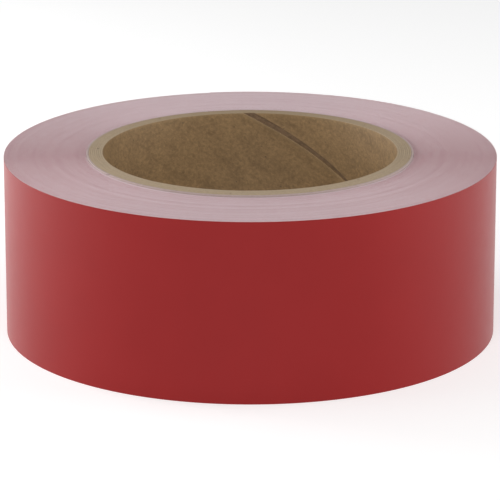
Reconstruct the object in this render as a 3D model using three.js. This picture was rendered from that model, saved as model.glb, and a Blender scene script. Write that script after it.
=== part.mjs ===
// A narrow roll of self-adhesive sign vinyl, standing on its side face.
// A spirally wound paperboard core of eight plies carries about thirty metres of
// web: red vinyl film, a coat of adhesive and a white paper release liner, wound
// with the film facing out. The outer end of the web is held down by a short
// piece of tape, and the inner end is taped to the core.
//
// Millimetres, +Z up. The origin is on the roll's axis, in the plane it rests on.
import * as THREE from "three";

// ---- driving dimensions -------------------------------------------------

// Core: a three-inch tube of eight paperboard plies.
const CORE_BORE_R = 38.1; // radius of the bore
const PLY_COUNT = 8;
const PLY_THICKNESS = 0.5;
const GLUE_LINE = 0.02; // left open between neighbouring plies
const CORE_LENGTH = 47.35; // the core stands 0.65 mm proud of the web at one end

// Each ply is a strip wound as a helix whose edges meet in a butt seam.
const SEAM_RISE_PER_DEG = 0.371; // mm of height for each degree round the core
const SEAM_TOP_DEG = 91.2; // where the inner ply's seam reaches the core's top
const SEAM_STEP_DEG = -137; // each ply's seam starts this far from the last one's
const INNER_SEAM_GAP = 1.0; // the inner ply's seam stands open
const PLY_SEAM_GAP = 0.5;

// Web: its three layers, from the inside out, with a hair of air between them.
const WEB_WIDTH = 46.7;
const LINER = 0.126;
const ADHESIVE = 0.02;
const FILM = 0.06;
const AIR = 0.01;
const WEB = LINER + AIR + ADHESIVE + AIR + FILM + AIR; // pitch of the winding
const TURNS = 89 + 11 / 12;
const WEB_END_DEG = 100; // azimuth of the web's outer end

// Tape between the core and the first centimetres of the web.
const START_TAPE = 0.06;
const START_TAPE_DEG = 32;

// The loose end: the tail lifts off the roll at one line, and the film peels
// off its liner at a second one. Angles are measured back from the web's end.
const TAIL_DEG = 36;
const FILM_TIP_DEG = 24;
const LIVE_HINGE_GAP = 0.3; // the web is divided here so that it can fold

// Hold-down tape, half on the tail and half on the turn below it.
const HOLD_TAPE = 0.05;
const HOLD_TAPE_WIDTH = 19;
const HOLD_TAPE_HALF_DEG = 16;

// Every round face has its corners at the same azimuths, so that nested pieces
// clear each other by their radii alone.
const SEGMENTS = 72;
const STEP_DEG = 360 / SEGMENTS;

// ---- derived ------------------------------------------------------------

const CORE_R = CORE_BORE_R + PLY_COUNT * (PLY_THICKNESS + GLUE_LINE) - GLUE_LINE;
const WEB_START_R = CORE_R + AIR + START_TAPE + AIR; // liner face of the first turn
const WEB_START_DEG = WEB_END_DEG - 360 * TURNS;

const rad = (deg) => (deg * Math.PI) / 180;
const gapDeg = (r) => ((LIVE_HINGE_GAP / 2 / r) * 180) / Math.PI;
// Radius of the web's inner (liner) face, by the azimuth counted along the winding.
const webR = (deg) => WEB_START_R + (WEB * (deg - WEB_START_DEG)) / 360;

const paper = (color) =>
  new THREE.MeshStandardMaterial({ color, roughness: 0.92, metalness: 0 });
const MATERIALS = {
  ply: paper(0x8f7148),
  innerPly: paper(0x7d6342),
  liner: paper(0xe9e4e2),
  film: new THREE.MeshStandardMaterial({
    color: 0xa8262a,
    roughness: 0.38,
    metalness: 0,
  }),
  web: new THREE.MeshStandardMaterial({
    color: 0xc4a9ac,
    roughness: 0.7,
    metalness: 0,
  }),
  adhesive: new THREE.MeshStandardMaterial({
    color: 0xd9cfc0,
    roughness: 0.25,
    metalness: 0,
  }),
  tape: new THREE.MeshStandardMaterial({
    color: 0xe6e0cf,
    roughness: 0.45,
    metalness: 0,
  }),
};

const roll = new THREE.Group();

function add(name, geometry, material, z = 0) {
  const mesh = new THREE.Mesh(geometry, material);
  mesh.name = name;
  mesh.position.z = z;
  roll.add(mesh);
  return mesh;
}

const at = (deg, r) => new THREE.Vector2(r * Math.cos(rad(deg)), r * Math.sin(rad(deg)));

const upright = (shape, height) =>
  new THREE.ExtrudeGeometry(shape, { depth: height, bevelEnabled: false });

// The azimuths from one angle to another: both ends, and each corner between.
function stops(from, to) {
  const found = [from];
  for (
    let d = (Math.floor(from / STEP_DEG + 1e-6) + 1) * STEP_DEG;
    d < to - 1e-6;
    d += STEP_DEG
  )
    found.push(d);
  found.push(to);
  return found;
}

// A point on the chord between two corners, so that a strip which ends between
// corners still has its faces on the same flats as its neighbours.
function onFlat(deg, radiusAt) {
  const a = Math.floor(deg / STEP_DEG + 1e-9) * STEP_DEG,
    b = a + STEP_DEG;
  if (deg - a < 1e-6) return at(deg, radiusAt(deg));
  const p = at(a, radiusAt(a)),
    q = at(b, radiusAt(b)),
    d = new THREE.Vector2(Math.cos(rad(deg)), Math.sin(rad(deg))),
    e = q.clone().sub(p);
  // where the ray at this azimuth meets the chord p-q
  const s = (p.x * d.y - p.y * d.x) / (e.y * d.x - e.x * d.y);
  return p.clone().add(e.multiplyScalar(s));
}

// A strip bent round the axis between two azimuths and two radius functions.
function strip(from, to, innerAt, outerAt) {
  const degs = stops(from, to);
  return new THREE.Shape([
    ...degs.map((d) => onFlat(d, innerAt)),
    ...degs.reverse().map((d) => onFlat(d, outerAt)),
  ]);
}

// ---- core ---------------------------------------------------------------

// One ply: a strip of paperboard wound once round as a helix. Unrolled it is a
// parallelogram, whose two slanting edges face each other across the seam.
function ply(innerR, outerR, seamTopDeg, gap) {
  const slope = Math.atan2(SEAM_RISE_PER_DEG, rad(innerR));
  const half = gap / 2 / Math.cos(slope);
  const seamZ = (deg) => CORE_LENGTH - (seamTopDeg - deg) * SEAM_RISE_PER_DEG;
  const seamDeg = (z) => seamTopDeg - (CORE_LENGTH - z) / SEAM_RISE_PER_DEG;
  const leftFoot = seamDeg(half),
    leftTop = seamDeg(CORE_LENGTH + half),
    rightFoot = seamDeg(-half) + 360,
    rightTop = seamDeg(CORE_LENGTH - half) + 360;
  const lowZ = (d) => (d <= rightFoot ? 0 : seamZ(d - 360) + half);
  const highZ = (d) => (d >= leftTop ? CORE_LENGTH : seamZ(d) - half);

  const corners = [],
    index = [];
  const degs = [
    ...new Set([
      ...stops(leftFoot, leftTop),
      ...stops(leftTop, rightFoot),
      ...stops(rightFoot, rightTop),
    ]),
  ];
  for (const d of degs) {
    const inner = onFlat(d, () => innerR),
      outer = onFlat(d, () => outerR),
      low = lowZ(d),
      high = highZ(d);
    corners.push(inner.x, inner.y, low, inner.x, inner.y, high);
    corners.push(outer.x, outer.y, low, outer.x, outer.y, high);
  }
  const last = degs.length - 1;
  for (let i = 0; i < last; i++) {
    const [il, ih, ol, oh] = [0, 1, 2, 3].map((k) => 4 * i + k);
    const [jl, jh, pl, ph] = [4, 5, 6, 7].map((k) => 4 * i + k);
    index.push(il, ih, jh, ol, ph, oh);
    index.push(il, jh, jl, ol, pl, ph);
    index.push(il, jl, pl, il, pl, ol);
    index.push(ih, oh, ph, ih, ph, jh);
  }
  return welded(corners, index);
}

// Corners that coincide, as they do at the strip's two tips, become one, and
// faces with no area go.
function welded(corners, index) {
  const seen = new Map(),
    kept = [],
    to = [];
  for (let i = 0; i < corners.length; i += 3) {
    const p = corners.slice(i, i + 3),
      key = p.map((c) => Math.round(c * 1e5)).join();
    if (!seen.has(key)) {
      seen.set(key, kept.length / 3);
      kept.push(...p);
    }
    to.push(seen.get(key));
  }
  const faces = [];
  for (let i = 0; i < index.length; i += 3) {
    const [a, b, c] = index.slice(i, i + 3).map((k) => to[k]);
    if (a !== b && b !== c && c !== a) faces.push(a, b, c);
  }
  const g = new THREE.BufferGeometry();
  g.setAttribute("position", new THREE.Float32BufferAttribute(kept, 3));
  g.setIndex(faces);
  g.computeVertexNormals();
  return g;
}

for (let k = 0; k < PLY_COUNT; k++) {
  const innerR = CORE_BORE_R + k * (PLY_THICKNESS + GLUE_LINE);
  const name =
    k === 0 ? "core_inner_ply" : k === PLY_COUNT - 1 ? "core_outer_ply" : `core_ply_${k + 1}`;
  add(
    name,
    ply(
      innerR,
      innerR + PLY_THICKNESS,
      SEAM_TOP_DEG + k * SEAM_STEP_DEG,
      k ? PLY_SEAM_GAP : INNER_SEAM_GAP,
    ),
    k === 0 ? MATERIALS.innerPly : MATERIALS.ply,
  );
}

// ---- web ----------------------------------------------------------------

// Double-sided tape that holds the web's inner end to the core.
add(
  "start_tape",
  upright(
    strip(
      WEB_START_DEG,
      WEB_START_DEG + START_TAPE_DEG,
      () => CORE_R + AIR,
      () => CORE_R + AIR + START_TAPE,
    ),
    WEB_WIDTH,
  ),
  MATERIALS.tape,
);

// All the turns but the last, as one body: the winding's inner and outer
// outlines are spirals, each with a step as high as the web is thick.
{
  const loop = (fromDeg, radiusAt) =>
    Array.from({ length: SEGMENTS + 1 }, (_, i) => {
      const d = fromDeg + i * STEP_DEG;
      return at(d, radiusAt(d));
    });
  const lastTurn = WEB_END_DEG - 360;
  const shape = new THREE.Shape(loop(lastTurn, (d) => webR(d) - AIR));
  shape.holes.push(new THREE.Path(loop(WEB_START_DEG, webR).reverse()));
  add("wound_web", upright(shape, WEB_WIDTH), MATERIALS.web);
}

// The last turn, layer by layer. Offsets are from the web's liner face.
const LAYERS = [
  ["liner", 0, LINER, MATERIALS.liner],
  ["adhesive", LINER + AIR, LINER + AIR + ADHESIVE, MATERIALS.adhesive],
  ["film", LINER + 2 * AIR + ADHESIVE, WEB - AIR, MATERIALS.film],
];
const TAIL_FOLD_DEG = WEB_END_DEG - TAIL_DEG;
const FILM_FOLD_DEG = WEB_END_DEG - FILM_TIP_DEG;
const outsideR = (deg) => webR(deg) + WEB - AIR;
const hinge = gapDeg(outsideR(WEB_END_DEG));

function layer(name, [, low, high, material], from, to) {
  add(
    name,
    upright(
      strip(
        from,
        to,
        (d) => webR(d) + low,
        (d) => webR(d) + high,
      ),
      WEB_WIDTH,
    ),
    material,
  );
}

const [liner, adhesive, film] = LAYERS;
for (const l of LAYERS)
  layer(`outer_turn_${l[0]}`, l, WEB_END_DEG - 360 + 2 * hinge, TAIL_FOLD_DEG - hinge);

// The tail: its liner is whole, and its film and adhesive fold once more.
layer("tail_liner", liner, TAIL_FOLD_DEG + hinge, WEB_END_DEG);
layer("tail_adhesive_root", adhesive, TAIL_FOLD_DEG + hinge, FILM_FOLD_DEG - hinge);
layer("tail_film_root", film, TAIL_FOLD_DEG + hinge, FILM_FOLD_DEG - hinge);
layer("tail_adhesive_tip", adhesive, FILM_FOLD_DEG + hinge, WEB_END_DEG);
layer("tail_film_tip", film, FILM_FOLD_DEG + hinge, WEB_END_DEG);

// Hold-down tape: one half on the film's tip, and one that steps down onto the
// turn below and peels off it.
const TAPE_Z = (WEB_WIDTH - HOLD_TAPE_WIDTH) / 2;
add(
  "end_tape_anchor",
  upright(
    strip(
      WEB_END_DEG - HOLD_TAPE_HALF_DEG,
      WEB_END_DEG - hinge,
      (d) => outsideR(d) + AIR,
      (d) => outsideR(d) + AIR + HOLD_TAPE,
    ),
    HOLD_TAPE_WIDTH,
  ),
  MATERIALS.tape,
  TAPE_Z,
);
{
  // Height of the tape's sticky face: on the film's edge, then on the turn below.
  const below = (d) => outsideR(d - 360) + 2 * AIR;
  const face = (d) => (d < WEB_END_DEG + 1e-6 ? outsideR(d) + AIR : below(d));
  add(
    "end_tape_tab",
    upright(
      strip(
        WEB_END_DEG + hinge,
        WEB_END_DEG + HOLD_TAPE_HALF_DEG,
        face,
        (d) => face(d) + HOLD_TAPE,
      ),
      HOLD_TAPE_WIDTH,
    ),
    MATERIALS.tape,
    TAPE_Z,
  );
}

export default roll;
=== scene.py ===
"""Looks for the roll of sign vinyl: a spirally wound paperboard core, ninety turns
of red film on its white liner, the loose tail and its hold-down tape."""

import math

import bpy
import numpy as np
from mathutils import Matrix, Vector


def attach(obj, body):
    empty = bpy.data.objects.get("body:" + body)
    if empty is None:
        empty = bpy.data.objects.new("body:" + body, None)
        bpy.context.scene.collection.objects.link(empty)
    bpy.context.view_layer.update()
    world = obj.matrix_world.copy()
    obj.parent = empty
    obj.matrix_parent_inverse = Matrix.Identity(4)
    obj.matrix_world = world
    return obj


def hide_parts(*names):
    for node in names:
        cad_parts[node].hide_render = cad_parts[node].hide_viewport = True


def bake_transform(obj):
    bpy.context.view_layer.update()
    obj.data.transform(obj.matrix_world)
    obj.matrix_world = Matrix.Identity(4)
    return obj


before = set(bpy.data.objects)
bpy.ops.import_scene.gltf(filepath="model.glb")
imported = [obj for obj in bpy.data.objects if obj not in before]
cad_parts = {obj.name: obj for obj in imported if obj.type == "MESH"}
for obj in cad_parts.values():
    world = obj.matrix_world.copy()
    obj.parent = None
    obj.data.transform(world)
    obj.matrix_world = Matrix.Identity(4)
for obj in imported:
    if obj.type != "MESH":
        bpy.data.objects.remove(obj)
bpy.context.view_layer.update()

# ---- the CAD's numbers, in millimetres and degrees ------------------------------

CORE_BORE_R = 38.1
PLY_COUNT = 8
PLY_THICKNESS = 0.5
GLUE_LINE = 0.02
CORE_LENGTH = 47.35
SEAM_RISE_PER_DEG = 0.371
SEAM_TOP_DEG = 91.2
SEAM_STEP_DEG = -137.0

WEB_WIDTH = 46.7
WEB = 0.236
AIR = 0.01
START_TAPE = 0.06
START_TAPE_DEG = 32.0
TURNS = 89 + 11 / 12
WEB_END_DEG = 100.0
HOLD_TAPE = 0.05
HOLD_TAPE_WIDTH = 19.0
HOLD_TAPE_HALF_DEG = 16.0

CORE_R = CORE_BORE_R + PLY_COUNT * (PLY_THICKNESS + GLUE_LINE) - GLUE_LINE
WEB_START_R = CORE_R + AIR + START_TAPE + AIR
WEB_START_DEG = WEB_END_DEG - 360 * TURNS
LAST_TURN_DEG = WEB_END_DEG - 360

# The web's layers as they are seen at its edge: the liner, and the film with its
# coat of adhesive. Distances from the web's inner face.
LINER_LOW, LINER_HIGH = 0.0, 0.120
FILM_LOW, FILM_HIGH = 0.122, 0.230
EDGE_SHRINK = 0.015  # the film of the last turn has drawn back from its liner's edge


def web_r(deg):
    """Radius of the web's inner face. The first turn lies flat on the core and climbs
    over its own start; the bump it leaves fades out over the next dozen turns."""
    turn = (np.asarray(deg, float) - WEB_START_DEG) / 360
    part = turn - np.floor(turn)
    w = np.clip((part - 0.94) / 0.06, 0, 1)
    climb = w * w * (3 - 2 * w)
    return WEB_START_R + WEB * (turn - np.clip(1 - turn / 12, 0, 1) * (part - climb))


def wander(x, period, seed):
    """Smooth noise along x, about -1 to 1, with one knot in each period."""
    x = np.asarray(x, float) / period
    i = np.floor(x).astype(int)
    f = x - i
    low = int(i.min())
    knots = np.random.default_rng(seed).normal(0, 0.6, int(i.max()) - low + 2)
    w = f * f * (3 - 2 * f)
    return knots[i - low] * (1 - w) + knots[i - low + 1] * w


# ---- mesh helpers ---------------------------------------------------------------


def make(name, co_mm, quads, materials, index=None, normals=None, sharp=None, points=None):
    """A mesh object from corners in mm and four-sided faces.
    normals are given for each corner of each face. points are named values on vertices."""
    co = np.asarray(co_mm, np.float64) * 0.001
    quads = np.asarray(quads, np.int32)
    me = bpy.data.meshes.new(name)
    me.vertices.add(len(co))
    me.vertices.foreach_set("co", co.astype(np.float32).ravel())
    me.loops.add(4 * len(quads))
    me.loops.foreach_set("vertex_index", quads.ravel())
    me.polygons.add(len(quads))
    me.polygons.foreach_set("loop_start", np.arange(0, 4 * len(quads), 4, dtype=np.int32))
    me.update(calc_edges=True)
    for m in materials:
        me.materials.append(m)
    if index is not None:
        me.polygons.foreach_set("material_index", np.asarray(index, np.int32))
    for key, value in (points or {}).items():
        value = np.asarray(value, np.float32)
        kind = "FLOAT_VECTOR" if value.ndim == 2 else "FLOAT"
        a = me.attributes.new(key, kind, "POINT")
        a.data.foreach_set("vector" if value.ndim == 2 else "value", value.ravel())
    if normals is not None:
        me.polygons.foreach_set("use_smooth", np.ones(len(quads), bool))
        me.normals_split_custom_set(np.asarray(normals, np.float32).reshape(-1, 3).tolist())
    elif sharp is not None:
        me.polygons.foreach_set("use_smooth", np.ones(len(quads), bool))
        me.set_sharp_from_angle(angle=math.radians(sharp))
    else:
        me.polygons.foreach_set("use_smooth", np.zeros(len(quads), bool))
    me.validate()
    o = bpy.data.objects.new(name, me)
    bpy.context.scene.collection.objects.link(o)
    return o


def ribbon(name, deg, r_in, r_out, z_low, z_high, materials, index=(0, 0, 0, 0), smooth=False, points=None):
    """A closed strip bent round the axis. deg, radii and heights are arrays, one value
    for each station. index gives the material of its outer face, top edge, inner face
    and bottom edge; the cut ends take the top edge's."""
    a = np.radians(deg)
    c, s = np.cos(a), np.sin(a)
    n = len(a)
    ones = np.ones(n)
    ring = [
        (r_out * ones, z_low * ones),
        (r_out * ones, z_high * ones),
        (r_in * ones, z_high * ones),
        (r_in * ones, z_low * ones),
    ]
    co = np.stack([np.stack([r * c, r * s, z], 1) for r, z in ring], 1).reshape(-1, 3)
    i = np.arange(n - 1)[:, None] * 4
    quads, which = [], []
    for k in range(4):
        k2 = (k + 1) % 4
        quads.append(np.concatenate([i + k, i + 4 + k, i + 4 + k2, i + k2], 1))
        which.append(np.full(n - 1, index[k]))
    e = 4 * (n - 1)
    quads.append(np.array([[0, 1, 2, 3], [e + 3, e + 2, e + 1, e]]))
    which.append(np.full(2, index[1]))
    quads = np.concatenate(quads)
    which = np.concatenate(which)
    normals = None
    if smooth:
        radial = np.stack([c, s, 0 * c], 1)
        up = np.tile([0.0, 0.0, 1.0], (n, 1))
        parts = []
        for k, v in enumerate((radial, up, -radial, -up)):
            a0, a1 = v[:-1], v[1:]
            parts.append(np.stack([a0, a1, a1, a0], 1))
        t0 = np.array([s[0], -c[0], 0])
        t1 = np.array([-s[-1], c[-1], 0])
        parts.append(np.stack([np.tile(t0, (4, 1)), np.tile(t1, (4, 1))]))
        normals = np.concatenate(parts)
    return make(name, co, quads, materials, which, normals, points=points)


# ---- materials --------------------------------------------------------------------


class Nodes:
    """A short way to write a material's node tree."""

    def __init__(self, name):
        self.m = bpy.data.materials.new(name)
        self.m.use_nodes = True
        self.t = self.m.node_tree
        self.t.nodes.clear()
        out = self.t.nodes.new("ShaderNodeOutputMaterial")
        self.bsdf = self.t.nodes.new("ShaderNodeBsdfPrincipled")
        self.t.links.new(self.bsdf.outputs[0], out.inputs[0])

    def new(self, kind, _set=None, **inputs):
        n = self.t.nodes.new(kind)
        for k, v in (_set or {}).items():
            setattr(n, k, v)
        for k, v in inputs.items():
            self.put(n, k.replace("_", " "), v)
        return n

    def put(self, n, key, v):
        key = int(key) if str(key).isdigit() else key
        s = n.inputs[key]
        if isinstance(v, bpy.types.NodeSocket):
            self.t.links.new(v, s)
        else:
            s.default_value = v

    def math(self, op, a, b=0.0, c=0.0, clamp=False):
        n = self.t.nodes.new("ShaderNodeMath")
        n.operation, n.use_clamp = op, clamp
        for i, v in enumerate((a, b, c)):
            self.put(n, i, v)
        return n.outputs[0]

    def vmath(self, op, a, b=(0, 0, 0)):
        n = self.t.nodes.new("ShaderNodeVectorMath")
        n.operation = op
        self.put(n, 0, a)
        if not (op in ("LENGTH", "NORMALIZE")):
            self.put(n, 1, b)
        return n.outputs["Value" if op in ("LENGTH", "DOT_PRODUCT") else 0]

    def here(self):
        return self.t.nodes.new("ShaderNodeTexCoord").outputs["Object"]

    def attribute(self, name, vector=False):
        n = self.new("ShaderNodeAttribute", {"attribute_name": name})
        return n.outputs["Vector" if vector else "Fac"]

    def noise(self, at, scale, detail=2.0, rough=0.5, distortion=0.0, kind="3D"):
        n = self.new("ShaderNodeTexNoise", {"noise_dimensions": kind})
        if kind == "1D":
            self.put(n, "W", at)
        else:
            self.put(n, "Vector", at)
        for k, v in (("Scale", scale), ("Detail", detail), ("Roughness", rough), ("Distortion", distortion)):
            self.put(n, k, v)
        return n.outputs["Fac"]

    def ramp(self, fac, *stops, mode="LINEAR"):
        n = self.t.nodes.new("ShaderNodeValToRGB")
        n.color_ramp.interpolation = mode
        e = n.color_ramp.elements
        while len(e) < len(stops):
            e.new(0.5)
        for el, (p, col) in zip(e, stops):
            el.position = p
            el.color = (*col, 1) if len(np.shape(col)) else (col, col, col, 1)
        self.put(n, 0, fac)
        return n.outputs[0]

    def mix(self, fac, a, b, how="MIX"):
        n = self.t.nodes.new("ShaderNodeMix")
        n.data_type, n.blend_type = "RGBA", how
        self.put(n, 0, fac)
        self.put(n, 6, a if isinstance(a, bpy.types.NodeSocket) else (*a, 1))
        self.put(n, 7, b if isinstance(b, bpy.types.NodeSocket) else (*b, 1))
        return n.outputs[2]

    def bump(self, height, strength, distance, normal=None):
        n = self.new("ShaderNodeBump", Strength=strength, Distance=distance)
        self.put(n, "Height", height)
        if normal is not None:
            self.put(n, "Normal", normal)
        return n.outputs[0]

    def done(self, **inputs):
        for k, v in inputs.items():
            if isinstance(v, tuple) and len(v) == 3:
                v = (*v, 1)
            self.put(self.bsdf, k.replace("_", " "), v)
        return self.m


def srgb(r, g, b):
    return tuple(
        c / 12.92 if c <= 0.04045 else ((c + 0.055) / 1.055) ** 2.4
        for c in (v / 255 for v in (r, g, b))
    )


def film_face():
    """Calendered vinyl: deep red, satin, with the faint orange peel of the calender
    and the slow unevenness of the turns beneath."""
    n = Nodes("vinyl_film_face")
    at = n.here()
    tone = n.noise(at, 55.0, 3.0)
    col = n.mix(n.ramp(tone, (0.3, 0.0), (0.75, 1.0)), (0.238, 0.0068, 0.0068), (0.252, 0.0080, 0.0080))
    peel = n.noise(at, 2600.0, 2.0)
    slow = n.noise(at, 70.0, 1.5)
    rough = n.math("MULTIPLY_ADD", n.noise(at, 300.0, 3.0), 0.05, 0.325)
    b = n.bump(slow, 0.25, 0.00035)
    b = n.bump(peel, 0.10, 0.00002, b)
    return n.done(
        Base_Color=col, Roughness=rough, Specular_IOR_Level=0.24, Normal=b, IOR=1.5
    )


def film_edge():
    """The slit edge of the film, a little paler and rougher than its face."""
    n = Nodes("vinyl_film_edge")
    at = n.here()
    r = n.vmath("LENGTH", n.vmath("MULTIPLY", at, (1, 1, 0)))
    lines = n.noise(n.math("MULTIPLY", r, 1000.0), 3.1, 2.0, kind="1D")
    dust = n.noise(at, 900.0, 3.0, 0.6)
    col = n.mix(n.ramp(lines, (0.3, 0.0), (0.7, 1.0)), (0.32, 0.038, 0.046), (0.38, 0.062, 0.072))
    col = n.mix(n.math("MULTIPLY", dust, 0.06), col, (0.52, 0.32, 0.33))
    return n.done(Base_Color=col, Roughness=0.6, Specular_IOR_Level=0.3)


def liner_edge():
    """The slit edge of the release liner: white paper fibre, soft and slightly dusty."""
    n = Nodes("liner_edge")
    at = n.here()
    r = n.vmath("LENGTH", n.vmath("MULTIPLY", at, (1, 1, 0)))
    lines = n.noise(n.math("MULTIPLY", r, 1000.0), 2.3, 2.0, kind="1D")
    bands = n.noise(n.math("MULTIPLY", r, 1000.0), 0.55, 2.0, kind="1D")
    smear = n.noise(n.vmath("MULTIPLY", at, (1, 1, 0.2)), 130.0, 3.0, 0.6)
    fibre = n.noise(at, 1500.0, 3.0, 0.65)
    col = n.mix(n.ramp(lines, (0.25, 0.0), (0.75, 1.0)), (0.665, 0.545, 0.570), (0.720, 0.600, 0.628))
    col = n.mix(n.ramp(fibre, (0.35, 0.0), (0.8, 0.4)), col, (0.525, 0.42, 0.438))
    dust = n.math("MULTIPLY", n.ramp(bands, (0.42, 0.0), (0.70, 1.0)), n.ramp(smear, (0.35, 0.15), (0.65, 1.0)))
    col = n.mix(n.math("MULTIPLY", dust, 0.30), col, (0.50, 0.36, 0.385))
    b = n.bump(fibre, 0.3, 0.00003)
    return n.done(Base_Color=col, Roughness=0.85, Specular_IOR_Level=0.25, Normal=b)


def liner_face():
    """The liner's silicone-coated face: white glazed paper with a soft sheen."""
    n = Nodes("liner_face")
    at = n.here()
    fibre = n.noise(at, 700.0, 4.0, 0.6)
    cloud = n.noise(at, 60.0, 2.0)
    col = n.mix(cloud, (0.76, 0.745, 0.735), (0.83, 0.82, 0.81))
    b = n.bump(fibre, 0.12, 0.00003)
    return n.done(Base_Color=col, Roughness=0.48, Specular_IOR_Level=0.4, Normal=b)


def adhesive_face():
    """The film's sticky side: the red seen through a milky coat with a wet gloss."""
    n = Nodes("adhesive_face")
    at = n.here()
    coat = n.noise(at, 400.0, 3.0)
    col = n.mix(n.ramp(coat, (0.35, 0.0), (0.7, 1.0)), (0.46, 0.13, 0.12), (0.53, 0.19, 0.175))
    b = n.bump(coat, 0.15, 0.00004)
    return n.done(Base_Color=col, Roughness=0.22, Specular_IOR_Level=0.5, Normal=b)


def tape_face():
    """Matt translucent office tape, over whatever lies under it."""
    n = Nodes("matt_tape")
    at = n.here()
    grain = n.noise(at, 1800.0, 3.0, 0.6)
    blot = n.noise(at, 160.0, 3.0)
    col = n.mix(n.ramp(blot, (0.35, 0.0), (0.7, 1.0)), (0.66, 0.60, 0.55), (0.74, 0.69, 0.64))
    b = n.bump(grain, 0.25, 0.00002)
    return n.done(
        Base_Color=col,
        Roughness=0.5,
        Specular_IOR_Level=0.4,
        Normal=b,
        Alpha=0.24,
    )


def board(name, light, dark, fleck, rough_scale=1.0, edge=None):
    """Paperboard. Its coordinates run along and across each ply's strip, so that the
    fibres and the mill's streaks follow the winding."""
    n = Nodes(name)
    at = n.attribute("strip", True)
    streak = n.noise(n.vmath("MULTIPLY", at, (0.045, 0.42, 1)), 1.0, 3.0, 0.55)
    cloud = n.noise(n.vmath("MULTIPLY", at, (0.16, 0.22, 1)), 1.0, 4.0, 0.6)
    mottle = n.noise(n.vmath("MULTIPLY", at, (0.8, 1.1, 1)), 1.0, 4.0, 0.68)
    fibre = n.noise(n.vmath("MULTIPLY", at, (1.9, 4.2, 1)), 1.0, 3.0, 0.7, 0.6)
    blotch = n.noise(n.vmath("MULTIPLY", at, (1.0, 1.2, 1)), 1.0, 4.0, 0.78, 0.4)
    f = n.math("MULTIPLY_ADD", streak, 0.16, n.math("MULTIPLY", cloud, 0.44))
    f = n.math("MULTIPLY_ADD", mottle, 0.40, f)
    col = n.mix(n.ramp(f, (0.38, 0.0), (0.62, 1.0)), dark, light)
    col = n.mix(n.ramp(fibre, (0.40, 0.0), (0.72, 0.30)), col, light)
    col = n.mix(n.ramp(blotch, (0.33, 0.50), (0.50, 0.0)), col, tuple(f * c for f, c in zip((0.74, 0.68, 0.60), dark)))
    col = n.mix(n.ramp(blotch, (0.52, 0.0), (0.66, 0.55)), col, tuple(1.22 * c for c in light))
    # dark flecks of bark and print in the recycled pulp
    v = n.new("ShaderNodeTexVoronoi", {"feature": "F1"}, Vector=n.vmath("MULTIPLY", at, (0.36, 0.52, 1)), Scale=1.0, Randomness=1.0)
    spot = n.ramp(v.outputs["Distance"], (0.045, 1.0), (0.13, 0.0))
    chosen = n.new("ShaderNodeSeparateColor")
    n.put(chosen, 0, v.outputs["Color"])
    spot = n.math("MULTIPLY", spot, n.math("GREATER_THAN", chosen.outputs[0], 0.66))
    col = n.mix(n.math("MULTIPLY", spot, 0.75), col, fleck)
    fine = n.noise(n.vmath("MULTIPLY", at, (1.4, 2.2, 1)), 1.0, 1.0)
    col = n.mix(n.ramp(fine, (0.70, 0.0), (0.78, 0.55)), col, fleck)
    if edge:
        col = n.mix(n.attribute("edge"), col, edge)
    relief = n.math("MULTIPLY_ADD", fibre, 0.6, n.math("MULTIPLY", mottle, 0.4))
    b = n.bump(relief, 0.5 * rough_scale, 0.00018)
    return n.done(Base_Color=col, Roughness=0.56, Specular_IOR_Level=0.52, Normal=b)


def board_end(name):
    """The sawn end of the core: each ply's own tone, fuzzy with cut fibre, and painted shade that darkens its back
    half.
    """
    n = Nodes(name)
    at = n.here()
    ply = n.attribute("tone")
    fuzz = n.noise(at, 2300.0, 4.0, 0.7)
    patch = n.noise(at, 240.0, 3.0, 0.6)
    col = n.mix(ply, (0.300, 0.228, 0.150), (0.500, 0.388, 0.265))
    col = n.mix(n.ramp(patch, (0.3, 0.0), (0.75, 0.55)), col, (0.42, 0.335, 0.240))
    col = n.mix(n.ramp(fuzz, (0.3, 0.4), (0.6, 0.0)), col, (0.24, 0.175, 0.11))
    # painted shade: the end face grows darker towards the back of the roll (+Y), not wear
    away = n.new("ShaderNodeSeparateXYZ")
    n.put(away, 0, at)
    painted_back_shade = n.ramp(n.math("MULTIPLY_ADD", away.outputs[1], 11.0, 0.5), (0.60, 0.0), (0.95, 1.0))
    col = n.mix(n.math("MULTIPLY", painted_back_shade, 0.45), col, (0.235, 0.165, 0.090))
    b = n.bump(fuzz, 0.6, 0.00012)
    return n.done(Base_Color=col, Roughness=0.92, Specular_IOR_Level=0.15, Normal=b)


def white_ply():
    """The core's outer ply: bleached paper, a little peach with age."""
    n = Nodes("white_outer_ply")
    at = n.here()
    fibre = n.noise(at, 1300.0, 3.0, 0.65)
    col = n.mix(n.ramp(fibre, (0.3, 0.0), (0.75, 1.0)), (0.405, 0.312, 0.292), (0.475, 0.378, 0.354))
    b = n.bump(fibre, 0.3, 0.00004)
    return n.done(Base_Color=col, Roughness=0.85, Specular_IOR_Level=0.25, Normal=b)


FILM = film_face()
FILM_EDGE = film_edge()
LINER_EDGE = liner_edge()
LINER = liner_face()
ADHESIVE = adhesive_face()
TAPE = tape_face()
KRAFT = board("kraft_inner_ply", (0.292, 0.182, 0.080), (0.172, 0.104, 0.044), (0.055, 0.034, 0.020), edge=(0.34, 0.232, 0.118))
# the board's brown is its own; its extra darkness against the kraft is painted shade for the seam groove, the only
# place where it shows
BOARD = board("core_board", (0.215, 0.132, 0.070), (0.140, 0.086, 0.046), (0.05, 0.03, 0.02))
WHITE_PLY = white_ply()
BOARD_END = board_end("core_board_end")

# ---- core -------------------------------------------------------------------------


END_SLOPE = 0.17 / 4.14  # the sawn end falls from the burr at the bore to the outer ply


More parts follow.
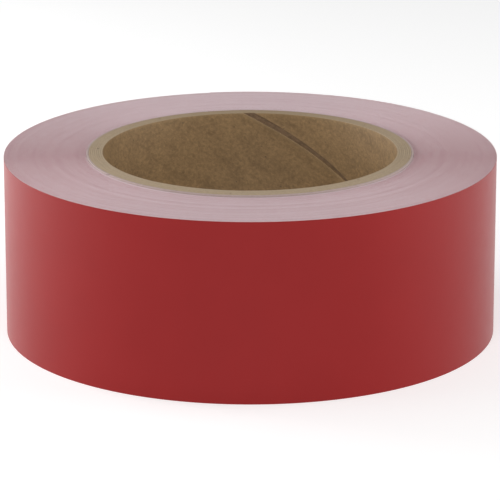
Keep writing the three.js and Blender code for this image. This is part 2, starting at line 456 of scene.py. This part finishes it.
def ply(k):
    inner_r = CORE_BORE_R + k * (PLY_THICKNESS + GLUE_LINE)
    outer_r = inner_r + PLY_THICKNESS
    slope = math.atan2(SEAM_RISE_PER_DEG, math.radians(inner_r))
    top_deg = SEAM_TOP_DEG + k * SEAM_STEP_DEG
    fine = k == 0
    rounding = 0.035
    if fine:
        z = np.concatenate([[0, 0.07, 0.2, 0.5], np.linspace(1.0, CORE_LENGTH - 1.0, 58), CORE_LENGTH - np.array([0.5, 0.2, 0.07, 0])])
    else:
        z = np.concatenate([[0, 0.07, 0.3], np.linspace(3, CORE_LENGTH - 3, 9), CORE_LENGTH - np.array([0.3, 0.07, 0])])
    # the gap across the seam, wider towards the upper end on the inner ply
    depth = CORE_LENGTH - z
    if fine:
        gap = 1.55 - 0.75 * np.clip(depth / 17, 0, 1) + 0.10 * wander(z, 2.3, 11) + 0.05 * wander(z, 0.8, 12)
        gap = np.clip(gap, 0.5, 1.8)
    else:
        gap = np.full_like(z, 0.14)
    gap_deg = np.degrees(gap / math.sin(slope) / inner_r)
    if fine:
        near = np.array([0, 0.08, 0.18, 0.3, 0.45, 0.65, 0.9, 1.2, 1.6, 2.1, 2.8])  # mm across, from an edge
        near_deg = np.degrees(near / math.sin(slope) / inner_r)
        t = np.concatenate([near_deg, np.linspace(near_deg[-1], 357 - near_deg[-1], 286)[1:-1], 357 - near_deg[::-1]]) / 357
    else:
        t = np.linspace(0, 1, 241)
    seam = top_deg - depth / SEAM_RISE_PER_DEG
    if fine:
        # the strip was laid a little unevenly, so the seam bows near this end
        seam = seam - 0.6 * np.clip(1 - depth / 17, 0, 1) - 0.95 * np.sin(math.pi * np.clip(depth / 17, 0, 1))
    span = 360 - gap_deg
    deg = (seam + gap_deg / 2)[:, None] + t[None, :] * span[:, None]
    zz = np.broadcast_to(z[:, None], deg.shape).copy()
    a = np.radians(deg)
    across_low = t[None, :] * np.radians(span)[:, None] * inner_r * math.sin(slope)
    across_high = (1 - t[None, :]) * np.radians(span)[:, None] * inner_r * math.sin(slope)

    # ends: each ply's cut end stands at its own height and wavers a little
    rng = np.random.default_rng(40 + k)
    lift = rng.uniform(-0.03, 0.0)
    waver = 0.02 * wander(np.arange(deg.shape[1]), 5, 60 + k) + 0.012 * wander(np.arange(deg.shape[1]), 1.3, 70 + k)
    top_shift = np.clip(lift + waver, -0.12, 0.0)
    low_shift = np.clip(-lift * 0.6 + np.abs(waver), 0.0, 0.12)
    near_top = np.clip(1 - depth / 1.5, 0, 1)[:, None]
    near_low = np.clip(1 - z / 1.5, 0, 1)[:, None]
    zz += near_top * top_shift[None, :] + near_low * low_shift[None, :]

    z_out = zz.copy()
    zz -= near_top * END_SLOPE * (inner_r - CORE_BORE_R)
    z_out -= near_top * END_SLOPE * (outer_r - CORE_BORE_R)
    r_in = np.full(deg.shape, inner_r)
    r_out = np.full(deg.shape, outer_r)
    lip = np.zeros(deg.shape)
    if fine:
        # the strip's lower edge curls up into the bore, and its upper one lies flat
        curl = 0.17 + 0.07 * wander(z, 4.0, 21) + 0.04 * wander(z, 1.1, 22)
        lip = np.clip(curl, 0.04, 0.4)[:, None] * np.exp(-((across_low / 0.8) ** 1.3))
        lip += 0.05 * np.exp(-(across_high / 0.6))
        r_in -= lip
        r_out -= np.minimum(lip, 0.17) * np.exp(-across_low / 0.7) * 0.5
        # soft dents from handling, and the ply's own slow unevenness
        r_in += 0.018 * wander(deg.ravel(), 9.0, 31).reshape(deg.shape) * np.sin(zz / 7.0 + 0.6)
        r_in = np.minimum(r_in, outer_r - 0.2)
    for row, inset in ((0, rounding), (-1, rounding), (1, rounding * 0.12), (-2, rounding * 0.12)):
        r_in[row] += inset
        r_out[row] -= inset
    if fine:
        r_in[:, 0] += 0.05
        r_in[:, -1] += 0.05

    rows, cols = deg.shape
    inner = np.stack([r_in * np.cos(a), r_in * np.sin(a), zz], 2).reshape(-1, 3)
    outer = np.stack([r_out * np.cos(a), r_out * np.sin(a), z_out], 2).reshape(-1, 3)
    co = np.concatenate([inner, outer])
    n = rows * cols

    def idx(r, c):
        return r * cols + c

    r, c = np.meshgrid(np.arange(rows - 1), np.arange(cols - 1), indexing="ij")
    r, c = r.ravel(), c.ravel()
    face_in = np.stack([idx(r, c), idx(r + 1, c), idx(r + 1, c + 1), idx(r, c + 1)], 1)
    face_out = np.stack([idx(r, c), idx(r, c + 1), idx(r + 1, c + 1), idx(r + 1, c)], 1) + n
    c = np.arange(cols - 1)
    low = np.stack([idx(0, c), idx(0, c + 1), idx(0, c + 1) + n, idx(0, c) + n], 1)
    high = np.stack([idx(rows - 1, c), idx(rows - 1, c) + n, idx(rows - 1, c + 1) + n, idx(rows - 1, c + 1)], 1)
    r = np.arange(rows - 1)
    left = np.stack([idx(r, 0), idx(r, 0) + n, idx(r + 1, 0) + n, idx(r + 1, 0)], 1)
    right = np.stack([idx(r, cols - 1), idx(r + 1, cols - 1), idx(r + 1, cols - 1) + n, idx(r, cols - 1) + n], 1)
    quads = np.concatenate([face_in, face_out, low, high, left, right])
    ends = np.zeros(len(quads), int)
    start = len(face_in) + len(face_out)
    ends[start : start + len(low) + len(high)] = 1
    row_of = np.concatenate([np.repeat(np.arange(rows - 1), cols - 1)] * 2)
    ends[:start][(row_of == 0) | (row_of == rows - 2)] = 1

    arc = np.radians(deg) * inner_r
    along = arc * math.cos(slope) + zz * math.sin(slope)
    across = -arc * math.sin(slope) + zz * math.cos(slope)
    strip = np.stack([along, across, np.full(deg.shape, 17.3 * k)], 2).reshape(-1, 3)
    worn = np.clip(0.5 * np.exp(-((across_low / 0.55) ** 1.5)) + 0.25 * np.exp(-across_high / 0.35), 0, 1)
    rim = 0.55 * np.exp(-np.maximum(depth, 0) / 0.35)[:, None] * np.ones(deg.shape)
    edge = np.clip(worn + rim, 0, 1).ravel()
    tone = np.full(2 * n, [0.62, 0.70, 0.58, 0.74, 0.66, 0.72, 0.60, 0.30][k])
    return make(
        f"{'core_inner_ply' if k == 0 else 'core_outer_ply' if k == PLY_COUNT - 1 else f'core_ply_{k + 1}'}_board",
        co,
        quads,
        [KRAFT, BOARD_END] if fine else [WHITE_PLY, WHITE_PLY] if k == PLY_COUNT - 1 else [BOARD, BOARD_END],
        ends,
        sharp=55,
        points={"strip": np.concatenate([strip, strip]), "edge": np.concatenate([edge, edge * 0]), "tone": tone},
    )


for k in range(PLY_COUNT):
    node = "core_inner_ply" if k == 0 else "core_outer_ply" if k == PLY_COUNT - 1 else f"core_ply_{k + 1}"
    piece = ply(k)
    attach(piece, "roll")
    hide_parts(node)

# ---- web --------------------------------------------------------------------------

PER_TURN = 128


def stations(start, end, per_turn=PER_TURN):
    step = 360 / per_turn
    first = math.floor(start / step + 1e-9) + 1
    last = math.ceil(end / step - 1e-9) - 1
    return np.concatenate([[start], np.arange(first, last + 1) * step, [end]])


def edge_height(deg):
    """How far the liner's upper edge stands from its nominal height: a little for each
    turn, a slow drift across many, and a few turns that sit low or proud."""
    turn = (np.asarray(deg) - WEB_START_DEG) / 360
    h = 0.0022 * wander(turn, 0.41, 101) + 0.009 * wander(turn, 4.3, 102)
    rng = np.random.default_rng(7)
    for _ in range(26):
        at, width, depth = rng.uniform(3, TURNS - 1), rng.uniform(0.4, 0.9), rng.uniform(0.005, 0.017)
        h -= depth * np.clip(1.6 - np.abs(turn - at) / (width / 1.6), 0, 1)
    h += 0.04 * np.clip(2.0 - turn, 0, 1)  # the first turns stand proud round the core
    return np.minimum(h, 0.05)


def foot_height(deg):
    turn = (np.asarray(deg) - WEB_START_DEG) / 360
    h = 0.014 + 0.008 * wander(turn, 0.43, 201) + 0.008 * wander(turn, 4.1, 202)
    rng = np.random.default_rng(8)
    for _ in range(22):
        at, width, depth = rng.uniform(1, TURNS - 1), rng.uniform(0.35, 1.0), rng.uniform(0.015, 0.05)
        h += depth * np.clip(1.6 - np.abs(turn - at) / (width / 1.6), 0, 1)
    return np.maximum(h, 0.0)


def film_drop(deg):
    turn = (np.asarray(deg) - WEB_START_DEG) / 360
    drop = np.clip(0.027 + 0.003 * wander(turn, 0.57, 103), 0.008, 0.045)
    # on the first turns the film has drawn back, and the liner's edge shows pale
    return drop + 0.05 * np.clip(2.3 - turn, 0, 1)


# The outer film starts early enough to be the face that the lifted tail uncovers.
COVERED_DEG = LAST_TURN_DEG - 48.0

deg = stations(WEB_START_DEG, LAST_TURN_DEG)
r = web_r(deg)
liner_turns = ribbon(
    "web_liner_turns",
    deg,
    r + LINER_LOW,
    r + LINER_HIGH,
    foot_height(deg),
    WEB_WIDTH + edge_height(deg),
    [LINER_EDGE],
)
deg = stations(WEB_START_DEG, COVERED_DEG)
r = web_r(deg)
film_turns = ribbon(
    "web_film_turns",
    deg,
    r + FILM_LOW,
    r + FILM_HIGH,
    foot_height(deg) + film_drop(deg),
    WEB_WIDTH + edge_height(deg) - film_drop(deg),
    [FILM_EDGE],
)
for piece, slot in ((liner_turns, "liner"), (film_turns, "film")):
    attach(piece, "roll")
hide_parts("wound_web")
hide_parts("wound_web")

# The last turn. Its film has drawn back a little from both edges of its liner.
OUTER_PER_TURN = 360
TAIL_A_START = 40.0  # from here the strip is built as separate tail pieces, where the tail's fold lies
TAIL_SPLIT = 70.0


def shrink(deg):
    return EDGE_SHRINK + 0.01 * wander(np.asarray(deg), 23.0, 301)


def film_part(name, start, end):
    d = stations(start, end, OUTER_PER_TURN)
    r = web_r(d)
    return ribbon(
        name,
        d,
        r + FILM_LOW,
        r + FILM_HIGH,
        foot_height(d) * 0.5 + shrink(d),
        WEB_WIDTH - shrink(d),
        [FILM, FILM_EDGE, ADHESIVE],
        (0, 1, 2, 1),
        smooth=True,
    )


def liner_part(name, start, end):
    d = stations(start, end, OUTER_PER_TURN)
    r = web_r(d)
    return ribbon(
        name,
        d,
        r + LINER_LOW,
        r + LINER_HIGH,
        foot_height(d) * 0.5,
        WEB_WIDTH + 0.5 * edge_height(d),
        [LINER, LINER_EDGE],
        (0, 1, 0, 1),
        smooth=True,
    )


film_main = film_part("film_outer_turn", COVERED_DEG, TAIL_A_START)
film_root = film_part("film_tail_root", TAIL_A_START, TAIL_SPLIT)
film_tip = film_part("film_tail_tip", TAIL_SPLIT, WEB_END_DEG - 0.05)
liner_main = liner_part("liner_outer_turn", LAST_TURN_DEG, TAIL_A_START)
liner_tail = liner_part("liner_tail_strip", TAIL_A_START, WEB_END_DEG)

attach(film_main, "roll")
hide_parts("outer_turn_film", "outer_turn_adhesive")
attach(liner_main, "roll")
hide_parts("outer_turn_liner")

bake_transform(film_root)
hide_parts("tail_film_root", "tail_adhesive_root")
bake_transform(liner_tail)
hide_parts("tail_liner")
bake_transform(film_tip)
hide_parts("tail_film_tip", "tail_adhesive_tip")

# ---- tapes ------------------------------------------------------------------------

d = stations(WEB_START_DEG, WEB_START_DEG + START_TAPE_DEG, 360)
start_tape = ribbon(
    "start_tape_strip", d, CORE_R + AIR, CORE_R + AIR + START_TAPE, 0.3, WEB_WIDTH - 0.3, [TAPE], smooth=True
)
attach(start_tape, "roll")
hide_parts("start_tape")


def hold_tape():
    """A strip of office tape across the web's end, with the pinked ends its cutter left."""
    low, high = (WEB_WIDTH - HOLD_TAPE_WIDTH) / 2, (WEB_WIDTH + HOLD_TAPE_WIDTH) / 2
    teeth = 15
    rows = np.linspace(low, high, 2 * teeth + 1)
    tooth = np.where(np.arange(len(rows)) % 2 == 0, 0.0, 0.62)  # degrees
    start, end = WEB_END_DEG - HOLD_TAPE_HALF_DEG, WEB_END_DEG + HOLD_TAPE_HALF_DEG
    u = np.concatenate([np.linspace(0, 0.47, 34), np.linspace(0.47, 0.62, 41)[1:], np.linspace(0.62, 1, 28)[1:]])
    deg = (start + 0.62 - tooth)[None, :] + u[:, None] * ((end - 0.62 + tooth) - (start + 0.62 - tooth))[None, :]

    def face(d):
        over = web_r(d) + WEB - AIR + 0.012
        under = web_r(d - 360) + WEB - AIR + 0.02
        w = np.clip((d - WEB_END_DEG) / 1.5, 0, 1)
        w = 1 - (1 - w) ** 2
        return over * (1 - w) + under * w

    r_in = face(deg)
    # small bubbles and a faint ripple where the tape isn't quite down
    r_in = r_in + 0.008 * (1 + wander(deg.ravel(), 2.1, 401).reshape(deg.shape)) * np.clip(
        np.sin(rows / 3.1 + 1.0), 0, 1
    )
    r_out = r_in + HOLD_TAPE
    a = np.radians(deg)
    z = np.broadcast_to(rows[None, :], deg.shape)
    inner = np.stack([r_in * np.cos(a), r_in * np.sin(a), z], 2).reshape(-1, 3)
    outer = np.stack([r_out * np.cos(a), r_out * np.sin(a), z], 2).reshape(-1, 3)
    n, cols = deg.size, deg.shape[1]
    nr = deg.shape[0]
    i, j = np.meshgrid(np.arange(nr - 1), np.arange(cols - 1), indexing="ij")
    i, j = i.ravel(), j.ravel()
    f_out = np.stack([i * cols + j, (i + 1) * cols + j, (i + 1) * cols + j + 1, i * cols + j + 1], 1) + n
    f_in = (f_out - n)[:, ::-1]
    i = np.arange(nr - 1)
    j0, j1 = i * cols, i * cols + cols - 1
    side_low = np.stack([j0, j0 + cols, j0 + cols + n, j0 + n], 1)
    side_high = np.stack([j1 + n, j1 + cols + n, j1 + cols, j1], 1)
    j = np.arange(cols - 1)
    e = (nr - 1) * cols
    end_a = np.stack([j, j + n, j + 1 + n, j + 1], 1)
    end_b = np.stack([e + j + 1, e + j + 1 + n, e + j + n, e + j], 1)
    quads = np.concatenate([f_out, f_in, side_low, side_high, end_a, end_b])
    return make("hold_down_tape", np.concatenate([inner, outer]), quads, [TAPE], sharp=50)


tape = hold_tape()
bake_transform(tape)
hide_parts("end_tape_anchor", "end_tape_tab")

# ---- floor, light and camera ---------------------------------------------------------


def floor():
    me = bpy.data.meshes.new("floor")
    s = 6.0
    me.from_pydata([(-s, -s, 0), (s, -s, 0), (s, s, 0), (-s, s, 0)], [], [(0, 1, 2, 3)])
    o = bpy.data.objects.new("floor", me)
    bpy.context.scene.collection.objects.link(o)
    o.location.z = -0.00002
    n = Nodes("floor_paper")
    me.materials.append(
        n.done(
            Base_Color=(0.70, 0.70, 0.70),
            Roughness=0.9,
            Specular_IOR_Level=0.1,
            Emission_Color=(1.0, 1.0, 1.0),
            Emission_Strength=0.42,
        )
    )


def softbox(name, at, aim, size, power, colour=(1, 1, 1)):
    light = bpy.data.lights.new(name, "AREA")
    light.shape = "RECTANGLE"
    light.size, light.size_y = size
    light.energy = power
    light.color = colour
    o = bpy.data.objects.new(name, light)
    bpy.context.scene.collection.objects.link(o)
    o.location = at
    o.rotation_euler = (Vector(aim) - Vector(at)).to_track_quat("-Z", "Y").to_euler()
    return o


floor()
mid = (0, 0, WEB_WIDTH / 2000)
softbox("front_softbox", (0.0, -1.3, 0.9), mid, (1.2, 0.6), 11.0)
softbox("left_panel", (-0.50, 0.0, 0.16), (0, 0, 0.03), (0.45, 0.26), 1.34)
softbox("left_back_panel", (-0.43, 0.25, 0.16), (0, 0, 0.03), (0.30, 0.26), 1.37)
softbox("right_panel", (0.50, 0.0, 0.16), (0, 0, 0.03), (0.45, 0.26), 1.42)

world = bpy.data.worlds.new("studio")
bpy.context.scene.world = world
world.use_nodes = True
bg = world.node_tree.nodes["Background"]
bg.inputs[0].default_value = (1.0, 1.0, 1.0, 1)
bg.inputs[1].default_value = 0.31

R = 63.65
DISTANCE = 14.7333 * R / 1000
ELEVATION = math.radians(16.66)
cam = bpy.data.cameras.new("camera")
cam.sensor_width = 36
cam.lens = 259.2
cam.clip_start, cam.clip_end = 0.05, 20
eye = bpy.data.objects.new("camera", cam)
bpy.context.scene.collection.objects.link(eye)
eye.location = (0, -DISTANCE * math.cos(ELEVATION), WEB_WIDTH / 2000 + DISTANCE * math.sin(ELEVATION))
eye.rotation_euler = (math.pi / 2 - ELEVATION - 0.0030167, 0, 0)
bpy.context.scene.camera = eye
bpy.context.scene.view_settings.view_transform = "Standard"
